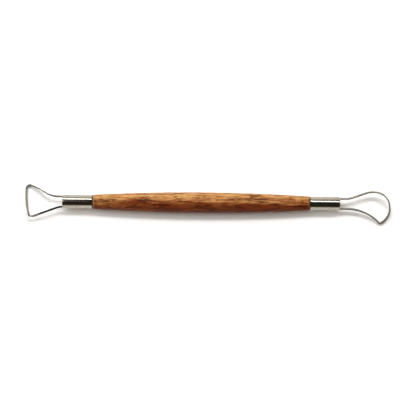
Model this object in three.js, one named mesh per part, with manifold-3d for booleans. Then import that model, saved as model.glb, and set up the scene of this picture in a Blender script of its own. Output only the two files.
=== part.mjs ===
// Double-ended loop tool for clay: a turned hardwood handle with a loop of steel ribbon set in a ferrule at
// each end. Millimetres, +Z up. The tool lies on the belly of its handle, X runs along the handle, and the
// origin is on the table under the middle of the handle.
import * as THREE from "three";
import { mergeVertices } from "three/addons/utils/BufferGeometryUtils.js";
import Module from "manifold-3d";

const { degToRad } = THREE.MathUtils;

// Handle, one turned piece with a tenon at each end
const handleLength = 121; // from shoulder to shoulder
const bellyDiameter = 11.4;
const bellyStraight = 46; // middle of the belly, turned straight, on which the tool lies steady
const shoulderDiameter = 7.9;
const shoulderBevel = 0.35;
const tenonLength = 11;
const tenonBevel = 0.3;
const handleSides = 32;
const bellySteps = 6; // on either side of the straight middle

// Ferrules, cut from thin steel tube
const ferruleDiameter = 7.5;
const ferruleWall = 0.25;
const ferruleLength = 16.2;
const ferruleBevel = 0.1;
const ferruleSides = 48;

// Steel ribbon, bent on the flat, so that its two edges are the cutting edges
const ribbonWidth = 2;
const ribbonThickness = 0.7;
const ribbonStep = 0.32; // length of strip between two sections
const legDepth = 12.5; // how far each leg reaches into its ferrule
const droopStart = 0.6; // out of the mouth, where the strip starts to bend down
const droopLength = 6; // and the length over which it bends

// Resin that sets the legs in the mouth of each ferrule
const plugRecess = 0.6; // below the ferrule's rim

// Clearances
const shoulderGap = 0.3; // handle shoulder to ferrule
const turnedGap = 0.3; // tenon or resin to the bore round it, and one to the other
const legGap = 0.1; // each leg to the bore that it lies against
const slotGap = 0.2; // each leg to the wood or resin beside it

// The outer corners of each leg lie legGap inside the bore.
const boreRadius = ferruleDiameter / 2 - ferruleWall;
const legOuter = Math.sqrt((boreRadius - legGap) ** 2 - (ribbonWidth / 2) ** 2);
const legSide = legOuter - ribbonThickness / 2;

const shoulder = handleLength / 2;
const tenonTip = shoulder + tenonLength;
const tenonRadius = boreRadius - turnedGap;
const ferruleFoot = shoulder + shoulderGap;
const mouth = ferruleFoot + ferruleLength;

// The two ends. points is the way along X. roll turns the loop about the handle, and droop bends it down at
// the neck. corners are those of the strip's middle line, from the leg on the +Y side round to the other leg:
// out is counted from the ferrule's mouth and side from the axis, and radius is that of the bend.
const leftEnd = {
  name: "left",
  loop: "triangle_loop",
  points: -1,
  roll: -10,
  droop: 10.4,
  corners: [
    { out: 6.3, side: legSide, radius: 14.4 },
    { out: 13.7, side: 7.5, radius: 13.8 },
    { out: 20.6, side: 10.8, radius: 2 },
    { out: 21.5, side: 0, radius: 42 },
    { out: 18.7, side: -8.6, radius: 2.2 },
    { out: 1.6, side: -legSide, radius: 12 },
  ],
};
const rightEnd = {
  name: "right",
  loop: "pear_loop",
  points: 1,
  roll: 17,
  droop: 3.6,
  corners: [
    { out: 5.2, side: legSide, radius: 7.3 },
    { out: 19.4, side: 7.6, radius: 11.1 },
    { out: 27.7, side: 3.3, radius: 9.2 },
    { out: 28.4, side: -5.7, radius: 7.1 },
    { out: 25.5, side: -10.2, radius: 7.5 },
    { out: 23, side: -11.8, radius: 1 },
    { out: 14.4, side: -legSide, radius: 26 },
  ],
};

const wood = new THREE.MeshStandardMaterial({ color: 0x8a4f2a, roughness: 0.5, metalness: 0 });
const ferruleSteel = new THREE.MeshStandardMaterial({ color: 0xb9b5a8, roughness: 0.18, metalness: 1 });
const ribbonSteel = new THREE.MeshStandardMaterial({ color: 0xa8a6a2, roughness: 0.28, metalness: 1 });
const resin = new THREE.MeshStandardMaterial({ color: 0xb89a6a, roughness: 0.45, metalness: 0 });

const wasm = await Module();
wasm.setup();

// A closed geometry as a solid that can be cut, and a solid as a geometry again.
function toSolid(geometry) {
  const bare = geometry.clone();
  bare.deleteAttribute("normal");
  bare.deleteAttribute("uv");
  const merged = mergeVertices(bare, 1e-4);
  const vertProperties = new Float32Array(merged.attributes.position.array);
  const triVerts = new Uint32Array(merged.index.array);
  return new wasm.Manifold(new wasm.Mesh({ numProp: 3, vertProperties, triVerts }));
}

function toGeometry(solid) {
  const { vertProperties, triVerts } = solid.getMesh();
  const shared = new THREE.BufferGeometry();
  shared.setAttribute("position", new THREE.BufferAttribute(vertProperties, 3));
  shared.setIndex(new THREE.BufferAttribute(triVerts, 1));
  const geometry = shared.toNonIndexed();
  geometry.computeVertexNormals();
  return geometry;
}

// Turns a profile of [radius, distance along X] about X, with one of its flat sides facing down. Radii are
// counted to the flats.
function turned(profile, sides) {
  const toCorner = 1 / Math.cos(Math.PI / sides);
  const points = profile.map(([radius, x]) => new THREE.Vector2(radius * toCorner, x));
  return new THREE.LatheGeometry(points, sides, Math.PI / sides).rotateZ(-Math.PI / 2);
}

// The same profile, but for the end that points to -X.
const mirrored = (profile) => profile.map(([radius, x]) => [radius, -x]).reverse();
const facing = (end, profile) => (end.points > 0 ? profile : mirrored(profile));

// The right half of the belly: a shallow arc from the end of the straight middle to the shoulder, as
// [radius, distance along X].
function bellyArc() {
  const [near, nearRadius] = [bellyStraight / 2, bellyDiameter / 2];
  const [far, farRadius] = [shoulder - shoulderBevel, shoulderDiameter / 2];
  const centre = (far ** 2 + farRadius ** 2 - near ** 2 - nearRadius ** 2) / (2 * (farRadius - nearRadius));
  const radius = Math.hypot(near, nearRadius - centre);
  const arc = new THREE.EllipseCurve(
    centre, 0, radius, radius, Math.asin(near / radius), Math.asin(far / radius),
  );
  return arc.getPoints(bellySteps).map(({ x, y }) => [x, y]);
}

const belly = bellyArc();
const axisHeight = bellyDiameter / 2;

// What the two legs of a loop take out of the wood or resin that they run beside.
function legSlots(roll, from, to) {
  const inner = legSide - ribbonThickness / 2 - slotGap;
  const depth = shoulderDiameter;
  return [1, -1].map((way) => {
    const slot = new THREE.BoxGeometry(to - from, depth, ribbonWidth + 2 * slotGap);
    slot.translate((from + to) / 2, way * (inner + depth / 2), 0);
    return toSolid(slot.rotateX(degToRad(roll)));
  });
}

const slotsAt = (end, from, to, roll) =>
  end.points > 0 ? legSlots(roll, from, to) : legSlots(roll, -to, -from);

function handleGeometry() {
  const tenon = [
    [shoulderDiameter / 2 - shoulderBevel, shoulder],
    [tenonRadius, shoulder],
    [tenonRadius, tenonTip - tenonBevel],
    [tenonRadius - tenonBevel, tenonTip],
    [0, tenonTip],
  ];
  const profile = [...mirrored(tenon), ...mirrored(belly), ...belly, ...tenon];
  let solid = toSolid(turned(profile, handleSides));
  for (const end of [leftEnd, rightEnd])
    for (const slot of slotsAt(end, mouth - legDepth - slotGap, mouth, end.roll)) solid = solid.subtract(slot);
  return toGeometry(solid);
}

function ferruleGeometry(end) {
  const outer = ferruleDiameter / 2;
  const wall = [
    [boreRadius, ferruleFoot],
    [outer - ferruleBevel, ferruleFoot],
    [outer, ferruleFoot + ferruleBevel],
    [outer, mouth - ferruleBevel],
    [outer - ferruleBevel, mouth],
    [boreRadius, mouth],
    [boreRadius, ferruleFoot],
  ];
  return turned(facing(end, wall), ferruleSides);
}

function plugGeometry(end) {
  const foot = tenonTip + turnedGap;
  const face = mouth - plugRecess;
  const plug = [
    [0, foot],
    [tenonRadius, foot],
    [tenonRadius, face],
    [0, face],
  ];
  let solid = toSolid(turned(facing(end, plug), handleSides));
  for (const slot of slotsAt(end, foot - slotGap, mouth, 0)) solid = solid.subtract(slot);
  return toGeometry(solid);
}

// The strip's middle line: straight from corner to corner, with an arc at each.
function stripPath(end) {
  const place = ({ out, side }) => new THREE.Vector2(end.points * (mouth + out), side);
  const line = [
    place({ out: -legDepth, side: legSide }),
    ...end.corners.map(place),
    place({ out: -legDepth, side: -legSide }),
  ];
  const path = new THREE.Path().moveTo(line[0].x, line[0].y);
  end.corners.forEach(({ radius }, i) => {
    const corner = line[i + 1];
    const back = line[i].clone().sub(corner).normalize();
    const ahead = line[i + 2].clone().sub(corner).normalize();
    const half = Math.acos(back.dot(ahead)) / 2;
    const middle = back.clone().add(ahead).normalize();
    const centre = corner.clone().addScaledVector(middle, radius / Math.sin(half));
    const from = back.clone().multiplyScalar(radius / Math.tan(half)).add(corner).sub(centre);
    const to = ahead.clone().multiplyScalar(radius / Math.tan(half)).add(corner).sub(centre);
    path.lineTo(centre.x + from.x, centre.y + from.y);
    path.absarc(centre.x, centre.y, radius, from.angle(), to.angle(), back.cross(ahead) > 0);
  });
  return path.lineTo(line.at(-1).x, line.at(-1).y);
}

// A flat path as a curve in space, for an extrusion to follow.
class FlatCurve extends THREE.Curve {
  constructor(path) {
    super();
    this.path = path;
    this.arcLengthDivisions = 600;
  }

  getPoint(t, target = new THREE.Vector3()) {
    const { x, y } = this.path.getPoint(t);
    return target.set(x, y, 0);
  }
}

// Bends a loop down past the mouth, on an arc and then straight on.
function bentDown(geometry, end) {
  const angle = degToRad(end.droop);
  const radius = droopLength / angle;
  const position = geometry.attributes.position;
  for (let i = 0; i < position.count; i++) {
    const out = end.points * position.getX(i) - mouth - droopStart;
    if (out <= 0) continue;
    const turn = Math.min(out / droopLength, 1) * angle;
    const straight = Math.max(out - droopLength, 0);
    const height = position.getZ(i);
    const bent = (radius + height) * Math.sin(turn) + straight * Math.cos(turn);
    position.setX(i, end.points * (mouth + droopStart + bent));
    position.setZ(i, (radius + height) * Math.cos(turn) - radius - straight * Math.sin(turn));
  }
  geometry.computeVertexNormals();
  return geometry;
}

function loopGeometry(end) {
  const path = stripPath(end);
  const section = new THREE.Shape();
  section.moveTo(-ribbonWidth / 2, -ribbonThickness / 2);
  section.lineTo(ribbonWidth / 2, -ribbonThickness / 2);
  section.lineTo(ribbonWidth / 2, ribbonThickness / 2);
  section.lineTo(-ribbonWidth / 2, ribbonThickness / 2);
  const steps = Math.round(path.getLength() / ribbonStep);
  const strip = new THREE.ExtrudeGeometry(section, { steps, extrudePath: new FlatCurve(path) });
  return bentDown(strip, end);
}

function named(name, geometry, material) {
  const mesh = new THREE.Mesh(geometry, material);
  mesh.name = name;
  return mesh;
}

const tool = new THREE.Group();
tool.position.z = axisHeight;
tool.add(named("handle", handleGeometry(), wood));
for (const end of [leftEnd, rightEnd]) {
  tool.add(named(`${end.name}_ferrule`, ferruleGeometry(end), ferruleSteel));
  const setting = new THREE.Group();
  setting.rotation.x = degToRad(end.roll);
  setting.add(named(end.loop, loopGeometry(end), ribbonSteel));
  setting.add(named(`${end.name}_resin_plug`, plugGeometry(end), resin));
  tool.add(setting);
}

export default tool;
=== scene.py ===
from math import cos, pi, radians, sin
import bmesh
import bpy
from mathutils import Euler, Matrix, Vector, noise


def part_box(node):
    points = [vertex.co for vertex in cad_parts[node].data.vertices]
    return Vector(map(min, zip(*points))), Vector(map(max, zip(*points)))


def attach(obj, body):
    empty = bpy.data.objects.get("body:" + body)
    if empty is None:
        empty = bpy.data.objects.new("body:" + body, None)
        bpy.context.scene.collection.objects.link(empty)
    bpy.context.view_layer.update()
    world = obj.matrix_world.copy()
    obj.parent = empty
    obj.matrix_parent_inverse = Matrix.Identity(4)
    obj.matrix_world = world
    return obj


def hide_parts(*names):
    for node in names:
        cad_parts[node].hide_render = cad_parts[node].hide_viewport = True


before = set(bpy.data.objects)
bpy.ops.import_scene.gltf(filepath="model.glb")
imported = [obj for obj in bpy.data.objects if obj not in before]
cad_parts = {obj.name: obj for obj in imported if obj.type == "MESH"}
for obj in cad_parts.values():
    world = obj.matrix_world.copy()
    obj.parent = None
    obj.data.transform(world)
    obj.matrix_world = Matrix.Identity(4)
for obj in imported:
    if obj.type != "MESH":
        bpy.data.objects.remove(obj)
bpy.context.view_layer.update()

mm = 0.001
handleLow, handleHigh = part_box("handle")
axisHeight = (handleLow.z + handleHigh.z) / 2
print("frame loaded, handle axis", round(axisHeight / mm, 2), "mm up")


def addNode(tree, kind, inputs=None, **settings):
    # a node with its settings made and its sockets set or linked
    node = tree.nodes.new(kind)
    for key, value in settings.items():
        setattr(node, key, value)
    for key, value in (inputs or {}).items():
        if isinstance(value, bpy.types.NodeSocket):
            tree.links.new(value, node.inputs[key])
        else:
            node.inputs[key].default_value = value
    return node


def newMaterial(name):
    # a material with its shader and output ready, and the object's coordinates in metres
    material = bpy.data.materials.new(name)
    material.use_nodes = True
    tree = material.node_tree
    tree.nodes.clear()
    output = addNode(tree, "ShaderNodeOutputMaterial")
    shader = addNode(tree, "ShaderNodeBsdfPrincipled")
    tree.links.new(shader.outputs["BSDF"], output.inputs["Surface"])
    coords = addNode(tree, "ShaderNodeTexCoord").outputs["Object"]
    return material, tree, shader, coords


def stretched(tree, coords, scale, move=(0, 0, 0)):
    # coordinates scaled per metre, so that a texture runs along one direction
    return addNode(tree, "ShaderNodeMapping", {"Vector": coords, "Scale": scale, "Location": move}).outputs[0]


def noiseOn(tree, vector, detail=2.0, rough=0.5, distort=0.0):
    inputs = {"Vector": vector, "Scale": 1.0, "Detail": detail, "Roughness": rough, "Distortion": distort}
    return addNode(tree, "ShaderNodeTexNoise", inputs).outputs["Fac"]


def rampOn(tree, factor, stops):
    # stops is a list of (position, grey or colour)
    node = addNode(tree, "ShaderNodeValToRGB", {"Fac": factor})
    ramp = node.color_ramp
    while len(ramp.elements) < len(stops):
        ramp.elements.new(0.5)
    for element, (position, colour) in zip(ramp.elements, stops):
        element.position = position
        element.color = (*colour, 1) if isinstance(colour, tuple) else (colour, colour, colour, 1)
    return node.outputs["Color"]


def mixColours(tree, factor, first, second, blend="MIX"):
    inputs = {"Fac": factor, "Color1": first, "Color2": second}
    return addNode(tree, "ShaderNodeMixRGB", inputs, blend_type=blend).outputs["Color"]


def mathOn(tree, operation, first, second=0.0, third=0.0):
    return addNode(tree, "ShaderNodeMath", {0: first, 1: second, 2: third}, operation=operation).outputs[0]


def rangeOn(tree, value, low, high, toLow=0.0, toHigh=1.0):
    return addNode(tree, "ShaderNodeMapRange", {0: value, 1: low, 2: high, 3: toLow, 4: toHigh}).outputs[0]


def meshObject(name, bm, smoothAngle=35):
    mesh = bpy.data.meshes.new(name)
    bm.normal_update()
    bm.to_mesh(mesh)
    bm.free()
    mesh.shade_smooth()
    mesh.set_sharp_from_angle(angle=radians(smoothAngle))
    piece = bpy.data.objects.new(name, mesh)
    bpy.context.scene.collection.objects.link(piece)
    return piece


def turnedMesh(profile, sides, closed=False):
    # turns (x, radius) points about the handle's axis; a radius of 0 closes to a point
    bm = bmesh.new()
    rings = []
    for x, radius in profile:
        if radius <= 0:
            rings.append([bm.verts.new((x, 0, axisHeight))])
            continue
        angles = [2 * pi * k / sides for k in range(sides)]
        rings.append([bm.verts.new((x, radius * sin(a), axisHeight + radius * cos(a))) for a in angles])
    if closed:
        rings.append(rings[0])
    for near, far in zip(rings, rings[1:]):
        for k in range(sides):
            after = (k + 1) % sides
            if len(near) == 1:
                bm.faces.new((near[0], far[k], far[after]))
            elif len(far) == 1:
                bm.faces.new((near[k], far[0], near[after]))
            else:
                bm.faces.new((near[k], far[k], far[after], near[after]))
    bmesh.ops.recalc_face_normals(bm, faces=bm.faces)
    return bm


def roundedEdge(x, radius, size, start, end, steps=5):
    # points of an edge rounded about (x, radius); 0 degrees points along X and 90 outwards
    angles = [radians(start + (end - start) * i / steps) for i in range(steps + 1)]
    return [(x + size * cos(a), radius + size * sin(a)) for a in angles]


# The handle: hardwood turned to a shallow belly, with a softened shoulder and a tenon at each end.
handleLook = {
    "shoulderX": 60.3 * mm,
    "bellyRadius": axisHeight,
    "shoulderRadius": 3.95 * mm,
    "edge": 0.35 * mm,  # rounding of the shoulder
    "tenonRadius": 3.2 * mm,
    "slimRadius": 2.45 * mm,  # the tenon's tip, between the legs of the loop
    "slimX": 64.2 * mm,
    "tenonTip": 71.5 * mm,
    "sides": 160,
    "rings": 120,
    "shoulderHighlightBand": (59.2 * mm, 59.5 * mm),  # painted highlight: where the wood is painted paler next to the shoulder
    "shoulderHighlightShares": (0.4, 0.1),  # how much, on the left and on the right
    # painted shade in the gap where the wood meets the ferrule: where it lies and how dark
    "jointShadeBand": (59.8 * mm, 60.0 * mm),
    "jointShadeShare": 0.92,
    "pale": (0.80, 0.46, 0.18),
    "golden": (0.66, 0.31, 0.10),
    "middle": (0.36, 0.115, 0.030),
    "reddish": (0.21, 0.040, 0.008),
    "patch": (0.075, 0.010, 0.002, 1),
    "vein": (0.12, 0.028, 0.006, 1),
    "pore": (0.05, 0.012, 0.004, 1),
    # the colours of the painted highlight and the painted shade at the shoulder
    "shoulderHighlight": (0.62, 0.36, 0.17, 1),
    "jointShade": (0.05, 0.02, 0.008, 1),
}


def woodMaterial(look):
    material, tree, shader, coords = newMaterial("oiledHardwood")
    x, y, z = addNode(tree, "ShaderNodeSeparateXYZ", {0: coords}).outputs

    # the figure: flamed wood over a colour shift across the handle, partly the wood's own and partly painted
    # light: golden and paler on the far side, towards the lamps, reddish and darker on the near side
    flames = noiseOn(tree, stretched(tree, coords, (75, 560, 560), (6.6, 51.4, 24.0)), 3, 0.6, 0.7)
    # side: painted shade and light across the handle, mixed with the wood's own shift from golden to reddish
    side = rangeOn(tree, y, -0.0028, 0.0030, 0.14, 0.78)
    figure = mathOn(tree, "ADD", rangeOn(tree, flames, 0.3, 0.7, -0.31, 0.31), side)
    stops = [(0.16, look["reddish"]), (0.46, look["middle"]), (0.72, look["golden"]), (1.0, look["pale"])]
    colour = rampOn(tree, figure, stops)

    # dark patches, most of them on the near, reddish side, where they deepen the painted shade
    patches = noiseOn(tree, stretched(tree, coords, (100, 860, 860), (54.7, 51.7, 15.6)), 3, 0.55, 0.8)
    patches = mathOn(tree, "MULTIPLY_ADD", side, -0.10, patches)
    patches = rangeOn(tree, patches, 0.45, 0.56)
    colour = mixColours(tree, mathOn(tree, "MULTIPLY", patches, 0.85), colour, look["patch"])

    # thin dark veins that wander along the grain
    wander = noiseOn(tree, stretched(tree, coords, (38, 900, 900), (41.9, 4.4, 5.3)), 2, 0.5, 0.9)
    veins = mathOn(tree, "ABSOLUTE", mathOn(tree, "SUBTRACT", wander, 0.5))
    veins = rangeOn(tree, veins, 0.008, 0.03, 1.0, 0.0)
    gaps = noiseOn(tree, stretched(tree, coords, (120, 300, 300), (1.6, 16.6, 57.5)), 2, 0.5)
    broken = rangeOn(tree, gaps, 0.42, 0.55)
    veins = mathOn(tree, "MULTIPLY", veins, broken)
    colour = mixColours(tree, mathOn(tree, "MULTIPLY", veins, 0.8), colour, look["vein"])

    # fine fibres
    fibre = noiseOn(tree, stretched(tree, coords, (130, 3400, 3400)), 4, 0.6)
    colour = mixColours(tree, 0.6, colour, rampOn(tree, fibre, [(0.3, 0.55), (0.7, 1.0)]), "MULTIPLY")

    # open pores: short dark dashes
    cellVector = stretched(tree, coords, (260, 1900, 1900))
    cells = addNode(tree, "ShaderNodeTexVoronoi", {"Vector": cellVector, "Scale": 1.0}).outputs["Distance"]
    crowd = noiseOn(tree, stretched(tree, coords, (60, 500, 500), (3, 5, 7)), 2, 0.5)
    poreSize = rangeOn(tree, crowd, 0.3, 0.7, 0.1, 0.4)
    pores = rangeOn(tree, mathOn(tree, "SUBTRACT", poreSize, cells), 0.0, 0.08)
    colour = mixColours(tree, mathOn(tree, "MULTIPLY", pores, 0.75), colour, look["pore"])

    # next to the shoulder the wood is painted paler, a painted highlight on its edge, more on the left, and
    # the joint is painted dark, a painted shade in the gap
    along = mathOn(tree, "ABSOLUTE", x)
    highlightBand = rangeOn(tree, along, *look["shoulderHighlightBand"])
    share = rangeOn(tree, x, -mm, mm, *look["shoulderHighlightShares"])
    colour = mixColours(tree, mathOn(tree, "MULTIPLY", highlightBand, share), colour, look["shoulderHighlight"])
    jointShade = rangeOn(tree, along, *look["jointShadeBand"], 0, look["jointShadeShare"])
    colour = mixColours(tree, jointShade, colour, look["jointShade"])

    # satin finish, duller where it has sunk into the pores
    sheen = noiseOn(tree, stretched(tree, coords, (40, 500, 500), (1, 2, 3)), 3, 0.6)
    rough = mathOn(tree, "MULTIPLY_ADD", pores, 0.25, rangeOn(tree, sheen, 0.3, 0.7, 0.42, 0.56))
    height = mathOn(tree, "SUBTRACT", mathOn(tree, "MULTIPLY", fibre, 0.35), pores)
    bump = addNode(tree, "ShaderNodeBump", {"Height": height, "Strength": 0.5, "Distance": 0.00006})
    tree.links.new(colour, shader.inputs["Base Color"])
    tree.links.new(rough, shader.inputs["Roughness"])
    tree.links.new(bump.outputs[0], shader.inputs["Normal"])
    shader.inputs["Specular IOR Level"].default_value = 0.12
    return material


def buildHandle(look):
    reach = look["shoulderX"] - look["edge"]
    rise = look["bellyRadius"] - look["shoulderRadius"]
    arcRadius = (reach ** 2 + rise ** 2) / (2 * rise)
    belly = []
    for i in range(look["rings"] + 1):
        x = reach * (2 * i / look["rings"] - 1)
        belly.append((x, look["bellyRadius"] - arcRadius + (arcRadius ** 2 - x ** 2) ** 0.5))
    edge = roundedEdge(reach, look["shoulderRadius"] - look["edge"], look["edge"], 90, 0)
    end = edge[1:] + [
        (look["shoulderX"], look["tenonRadius"]),
        (look["slimX"], look["tenonRadius"]),
        (look["slimX"], look["slimRadius"]),
        (look["tenonTip"], look["slimRadius"]),
        (look["tenonTip"], 0),
    ]
    start = [(-x, radius) for x, radius in reversed(end)]
    piece = meshObject("turned_handle", turnedMesh(start + belly + end, look["sides"]))
    piece.data.materials.append(woodMaterial(look))
    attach(piece, "root")
    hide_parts("handle")
    print("handle turned")


# The ferrules: thin plated tube, cut square, its rims taken off with a light rub.
ferruleLook = {
    "footX": 60.6 * mm,
    "mouthX": 77.0 * mm,
    "radius": 3.75 * mm,
    "wall": 0.25 * mm,
    "rim": 0.1 * mm,
    "innerEdge": 0.04 * mm,  # chamfer at both ends of the bore
    "lengths": 12,  # rows of faces along the tube
    "sides": 128,
    "metal": (0.52, 0.50, 0.44, 1),
    "dullMetal": (0.42, 0.40, 0.34, 1),
}


def ferruleMaterial(look):
    material, tree, shader, coords = newMaterial("platedTube")

    # drawn lines along the tube, under a slow cloud
    lines = noiseOn(tree, stretched(tree, coords, (30, 5200, 5200)), 3, 0.6)
    cloud = noiseOn(tree, stretched(tree, coords, (320, 320, 320), (4, 1, 2)), 3, 0.55)
    colour = mixColours(tree, rangeOn(tree, cloud, 0.35, 0.75), look["metal"], look["dullMetal"])
    drawn = rangeOn(tree, lines, 0.3, 0.7, 0.07, 0.15)
    rough = mathOn(tree, "ADD", drawn, rangeOn(tree, cloud, 0.4, 0.8, 0, 0.08))
    height = mathOn(tree, "MULTIPLY_ADD", cloud, 3.0, lines)
    bump = addNode(tree, "ShaderNodeBump", {"Height": height, "Strength": 0.25, "Distance": 0.000012})
    tree.links.new(colour, shader.inputs["Base Color"])
    tree.links.new(rough, shader.inputs["Roughness"])
    tree.links.new(bump.outputs[0], shader.inputs["Normal"])
    shader.inputs["Metallic"].default_value = 1.0
    return material


def buildFerrules(look):
    inner = look["radius"] - look["wall"]
    rim, innerEdge = look["rim"], look["innerEdge"]
    foot, mouth = look["footX"], look["mouthX"]
    steps = look["lengths"]
    outside = [(foot + rim + (mouth - foot - 2 * rim) * i / steps, look["radius"]) for i in range(steps + 1)]
    profile = roundedEdge(foot + rim, look["radius"] - rim, rim, 180, 90)[:-1] + outside
    profile += roundedEdge(mouth - rim, look["radius"] - rim, rim, 90, 0)[1:]
    profile += [(mouth, inner + innerEdge), (mouth - innerEdge, inner), (foot + innerEdge, inner)]
    profile += [(foot, inner + innerEdge)]
    material = ferruleMaterial(look)
    for side, way in (("left", -1), ("right", 1)):
        points = [(way * x, radius) for x, radius in profile]
        piece = meshObject(side + "_tube", turnedMesh(points, look["sides"], closed=True))
        piece.data.materials.append(material)
        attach(piece, "root")
        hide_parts(side + "_ferrule")
    print("ferrules cut")


# The loops: the bent strips of the frame, welded back to plain faces, with their arrises rubbed round.
ribbonLook = {
    "arris": 0.07 * mm,
    "weld": 0.001 * mm,  # corners closer than this are one
    # painted reflections: a pale tone and a near-black tone laid along stretches of the strip
    "paintedPaleReflection": (0.86, 0.81, 0.74),
    "steel": (0.47, 0.44, 0.40),
    "paintedDarkReflection": (0.035, 0.032, 0.028),
}


def ribbonMaterial(look):
    material, tree, shader, coords = newMaterial("rolledSteel")
    scratch = noiseOn(tree, stretched(tree, coords, (900, 900, 5200)), 3, 0.65)

    # painted reflections: some long stretches of the strip are painted pale, like the lit table mirrored in
    # them, and others near black, like their own shadow mirrored
    paintedReflections = noiseOn(tree, stretched(tree, coords, (60, 60, 60), (59.3, 64.1, 13.1)), 2, 0.5)
    stops = [(0.34, look["paintedPaleReflection"]), (0.45, look["steel"]), (0.53, look["steel"]), (0.60, look["paintedDarkReflection"])]
    colour = rampOn(tree, paintedReflections, stops)
    cloud = noiseOn(tree, stretched(tree, coords, (260, 260, 260), (8, 3, 1)), 3, 0.6)
    colour = mixColours(tree, 1.0, colour, rampOn(tree, cloud, [(0.35, 1.0), (0.75, 0.62)]), "MULTIPLY")
    rolled = rangeOn(tree, scratch, 0.3, 0.7, 0.36, 0.5)
    rough = mathOn(tree, "ADD", rolled, rangeOn(tree, cloud, 0.4, 0.8, 0, 0.1))
    bump = addNode(tree, "ShaderNodeBump", {"Height": scratch, "Strength": 0.3, "Distance": 0.00001})
    tree.links.new(colour, shader.inputs["Base Color"])
    tree.links.new(rough, shader.inputs["Roughness"])
    tree.links.new(bump.outputs[0], shader.inputs["Normal"])
    shader.inputs["Metallic"].default_value = 1.0
    return material


def buildLoops(look):
    material = ribbonMaterial(look)
    for node in ("triangle_loop", "pear_loop"):
        bm = bmesh.new()
        bm.from_mesh(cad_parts[node].data)
        bmesh.ops.remove_doubles(bm, verts=bm.verts, dist=look["weld"])
        bmesh.ops.join_triangles(
            bm, faces=bm.faces, angle_face_threshold=radians(3), angle_shape_threshold=radians(60))
        arrises = [edge for edge in bm.edges if edge.is_manifold and edge.calc_face_angle() > radians(60)]
        bmesh.ops.bevel(
            bm, geom=arrises, offset=look["arris"], segments=2, profile=0.5,
            affect="EDGES", clamp_overlap=True)
        piece = meshObject(node.replace("_loop", "_ribbon"), bm, 40)
        piece.data.materials.append(material)
        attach(piece, "root")
        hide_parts(node)
    print("loops bent")


# The resin that sets the legs: it fills the mouth of each ferrule and creeps up its wall.
resinLook = {
    "footX": 71.9 * mm,
    "faceX": 76.4 * mm,
    "radius": 3.46 * mm,
    "creep": 0.35 * mm,  # how much higher the rim of its face stands
    "ripple": 0.06 * mm,
    "faceRings": 14,
    "sides": 96,
    "amber": (0.52, 0.33, 0.13, 1),
    "cloudy": (0.66, 0.50, 0.28, 1),
}


def resinMaterial(look):
    material, tree, shader, coords = newMaterial("curedResin")
    cloud = noiseOn(tree, stretched(tree, coords, (700, 700, 700)), 4, 0.6)
    colour = mixColours(tree, rangeOn(tree, cloud, 0.35, 0.7), look["amber"], look["cloudy"])
    bubbleVector = stretched(tree, coords, (2200, 2200, 2200))
    cells = addNode(tree, "ShaderNodeTexVoronoi", {"Vector": bubbleVector, "Scale": 1.0}).outputs["Distance"]
    bubbles = rangeOn(tree, cells, 0.12, 0.22)
    height = mathOn(tree, "MULTIPLY_ADD", cloud, 1.5, bubbles)
    bump = addNode(tree, "ShaderNodeBump", {"Height": height, "Strength": 0.4, "Distance": 0.00005})
    tree.links.new(colour, shader.inputs["Base Color"])
    tree.links.new(rangeOn(tree, cloud, 0.3, 0.7, 0.18, 0.36), shader.inputs["Roughness"])
    tree.links.new(bump.outputs[0], shader.inputs["Normal"])
    shader.inputs["Coat Weight"].default_value = 0.4
    shader.inputs["Coat Roughness"].default_value = 0.12
    return material


def buildResin(look):
    material = resinMaterial(look)
    for side, way in (("left", -1), ("right", 1)):
        profile = [(way * look["footX"], 0), (way * look["footX"], look["radius"])]
        for i in range(look["faceRings"] + 1):
            share = 1 - i / look["faceRings"]
            x = look["faceX"] + look["creep"] * (share ** 4 - 0.4)
            profile.append((way * x, look["radius"] * share))
        bm = turnedMesh(profile, look["sides"])
        for vert in bm.verts:
            if abs(vert.co.x) > look["faceX"] - look["creep"]:
                vert.co.x += look["ripple"] * noise.noise(vert.co / mm + Vector((way * 9, 0, 0)))
        piece = meshObject(side + "_resin", bm)
        piece.data.materials.append(material)
        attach(piece, "root")
        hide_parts(side + "_resin_plug")
    print("resin set")


# The white table that the tool lies on.
tableLook = {
    "half": 1.6,
    "squares": 8,
    "paper": 0.8,  # what it sends back to the tool
    "shown": 1.25,  # what the camera sees, so that it stays white round the shadow
    "fade": (0.13, 0.26),  # distances between which the camera's table turns to plain white
    "mirrored": 1.0,  # what metal and glass see
}


def buildTable(look):
    bm = bmesh.new()
    count = look["squares"]
    grid = [[bm.verts.new((look["half"] * (2 * i / count - 1), look["half"] * (2 * j / count - 1), 0))
             for j in range(count + 1)] for i in range(count + 1)]
    for i in range(count):
        for j in range(count):
            bm.faces.new((grid[i][j], grid[i + 1][j], grid[i + 1][j + 1], grid[i][j + 1]))
    table = meshObject("white_table", bm)
    material = bpy.data.materials.new("whiteTable")
    material.use_nodes = True
    tree = material.node_tree
    tree.nodes.clear()
    path = addNode(tree, "ShaderNodeLightPath").outputs
    mirrored = mathOn(tree, "MAXIMUM", path["Is Glossy Ray"], path["Is Transmission Ray"])
    place = addNode(tree, "ShaderNodeTexCoord").outputs["Object"]
    away = addNode(tree, "ShaderNodeVectorMath", {0: place}, operation="LENGTH").outputs["Value"]
    far = mathOn(tree, "MULTIPLY", path["Is Camera Ray"], rangeOn(tree, away, *look["fade"]))
    paper, shown, inMetal = ((look[key],) * 3 + (1,) for key in ("paper", "shown", "mirrored"))
    colour = mixColours(tree, mirrored, mixColours(tree, path["Is Camera Ray"], paper, shown), inMetal)
    diffuse = addNode(tree, "ShaderNodeBsdfDiffuse", {"Color": colour}).outputs[0]
    white = addNode(tree, "ShaderNodeEmission", {"Strength": 1.0}).outputs[0]
    surface = addNode(tree, "ShaderNodeMixShader", {0: far, 1: diffuse, 2: white}).outputs[0]
    output = addNode(tree, "ShaderNodeOutputMaterial")
    tree.links.new(surface, output.inputs["Surface"])
    table.data.materials.append(material)
    print("table laid")


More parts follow.
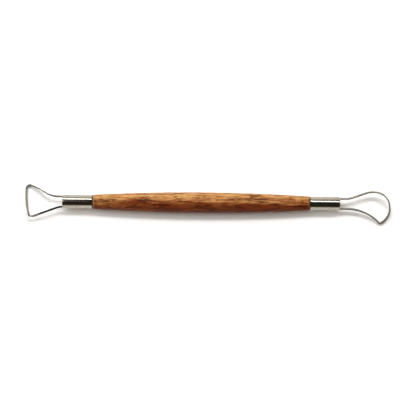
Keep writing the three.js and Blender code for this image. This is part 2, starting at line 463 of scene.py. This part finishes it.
# A long strip and a tall panel beyond the tool, a strip that the ferrules mirror, a card that the left loop
# mirrors, dark cloth round the camera, and pale walls. fromUp is in degrees from straight up to the far side.
lightLook = {
    "boxes": {
        "strip": {
            "fromUp": 30, "toRight": 10, "turn": 16,
            "size": (0.9, 0.14), "power": 4.5, "mirrored": False,
        },
        "panel": {
            "fromUp": 17, "toRight": -29, "turn": 0,
            "size": (0.45, 0.9), "power": 3.2, "mirrored": False,
        },
        "mirrorStrip": {
            "fromUp": 42, "toRight": 0, "turn": -31,
            "size": (0.8, 0.23), "power": 2.3, "mirrored": True,
        },
        "card": {
            "fromUp": 20, "toRight": -42, "turn": 0,
            "size": (0.3, 0.9), "power": 1.0, "mirrored": True,
        },
    },
    "distance": 1.0,
    "wallTint": (1.0, 0.88, 0.75),
    # how bright, by the steepness of the look up
    "walls": [(0.0, 1.1), (0.2, 0.97), (0.3, 0.79), (0.42, 0.34), (0.54, 0.06), (0.64, 0.03)],
}


def buildLight(look):
    for name, box in look["boxes"].items():
        lamp = bpy.data.lights.new(name, "AREA")
        lamp.shape = "RECTANGLE"
        lamp.size, lamp.size_y = box["size"]
        lamp.energy = box["power"]
        holder = bpy.data.objects.new(name, lamp)
        up = radians(box["fromUp"])
        away = Vector((sin(radians(box["toRight"])), sin(up), cos(up))).normalized()
        holder.location = away * look["distance"]
        facing = away.to_track_quat("Z", "Y") @ Euler((0, 0, radians(box["turn"]))).to_quaternion()
        holder.rotation_euler = facing.to_euler()
        holder.visible_glossy = box["mirrored"]
        bpy.context.scene.collection.objects.link(holder)

    world = bpy.data.worlds.new("room")
    world.use_nodes = True
    bpy.context.scene.world = world
    tree = world.node_tree
    tree.nodes.clear()
    direction = addNode(tree, "ShaderNodeTexCoord").outputs["Generated"]
    up = addNode(tree, "ShaderNodeSeparateXYZ", {0: direction}).outputs["Z"]
    walls = [(height, tuple(grey * share for share in look["wallTint"])) for height, grey in look["walls"]]
    seen = addNode(tree, "ShaderNodeLightPath").outputs["Is Camera Ray"]
    colour = mixColours(tree, seen, rampOn(tree, up, walls), (1, 1, 1, 1))
    background = addNode(tree, "ShaderNodeBackground", {"Color": colour, "Strength": 1.0})
    output = addNode(tree, "ShaderNodeOutputWorld")
    tree.links.new(background.outputs[0], output.inputs["Surface"])
    print("light set")


# The camera looks straight down, turned a touch, so that the tool's right end lies lower in the frame.
cameraLook = {
    "metresPerPixel": 0.5562 * mm,
    "distance": 0.8,
    "handleMiddle": (201.2, 202.63),  # where the middle of the handle lies in the frame, in pixels
    "roll": 0.45,
    "framePixels": 420,
    "sensor": 36,  # in millimetres, as the lens is
    "nearest": 10 * mm,
}


def buildCamera(look):
    data = bpy.data.cameras.new("camera")
    data.sensor_width = look["sensor"]
    data.lens = look["sensor"] * look["distance"] / (look["framePixels"] * look["metresPerPixel"])
    data.clip_start = look["nearest"]
    camera = bpy.data.objects.new("camera", data)
    turn = Euler((0, 0, radians(look["roll"])))
    toRight = (look["framePixels"] / 2 - look["handleMiddle"][0]) * look["metresPerPixel"]
    toTop = (look["handleMiddle"][1] - look["framePixels"] / 2) * look["metresPerPixel"]
    offset = Vector((toRight, toTop, look["distance"]))
    offset.rotate(turn)
    camera.rotation_euler = turn
    camera.location = Vector((0, 0, axisHeight)) + offset
    bpy.context.scene.collection.objects.link(camera)
    bpy.context.scene.camera = camera
    bpy.context.scene.view_settings.view_transform = "Standard"
    print("camera placed")


buildHandle(handleLook)
buildFerrules(ferruleLook)
buildLoops(ribbonLook)
buildResin(resinLook)
buildTable(tableLook)
buildLight(lightLook)
buildCamera(cameraLook)
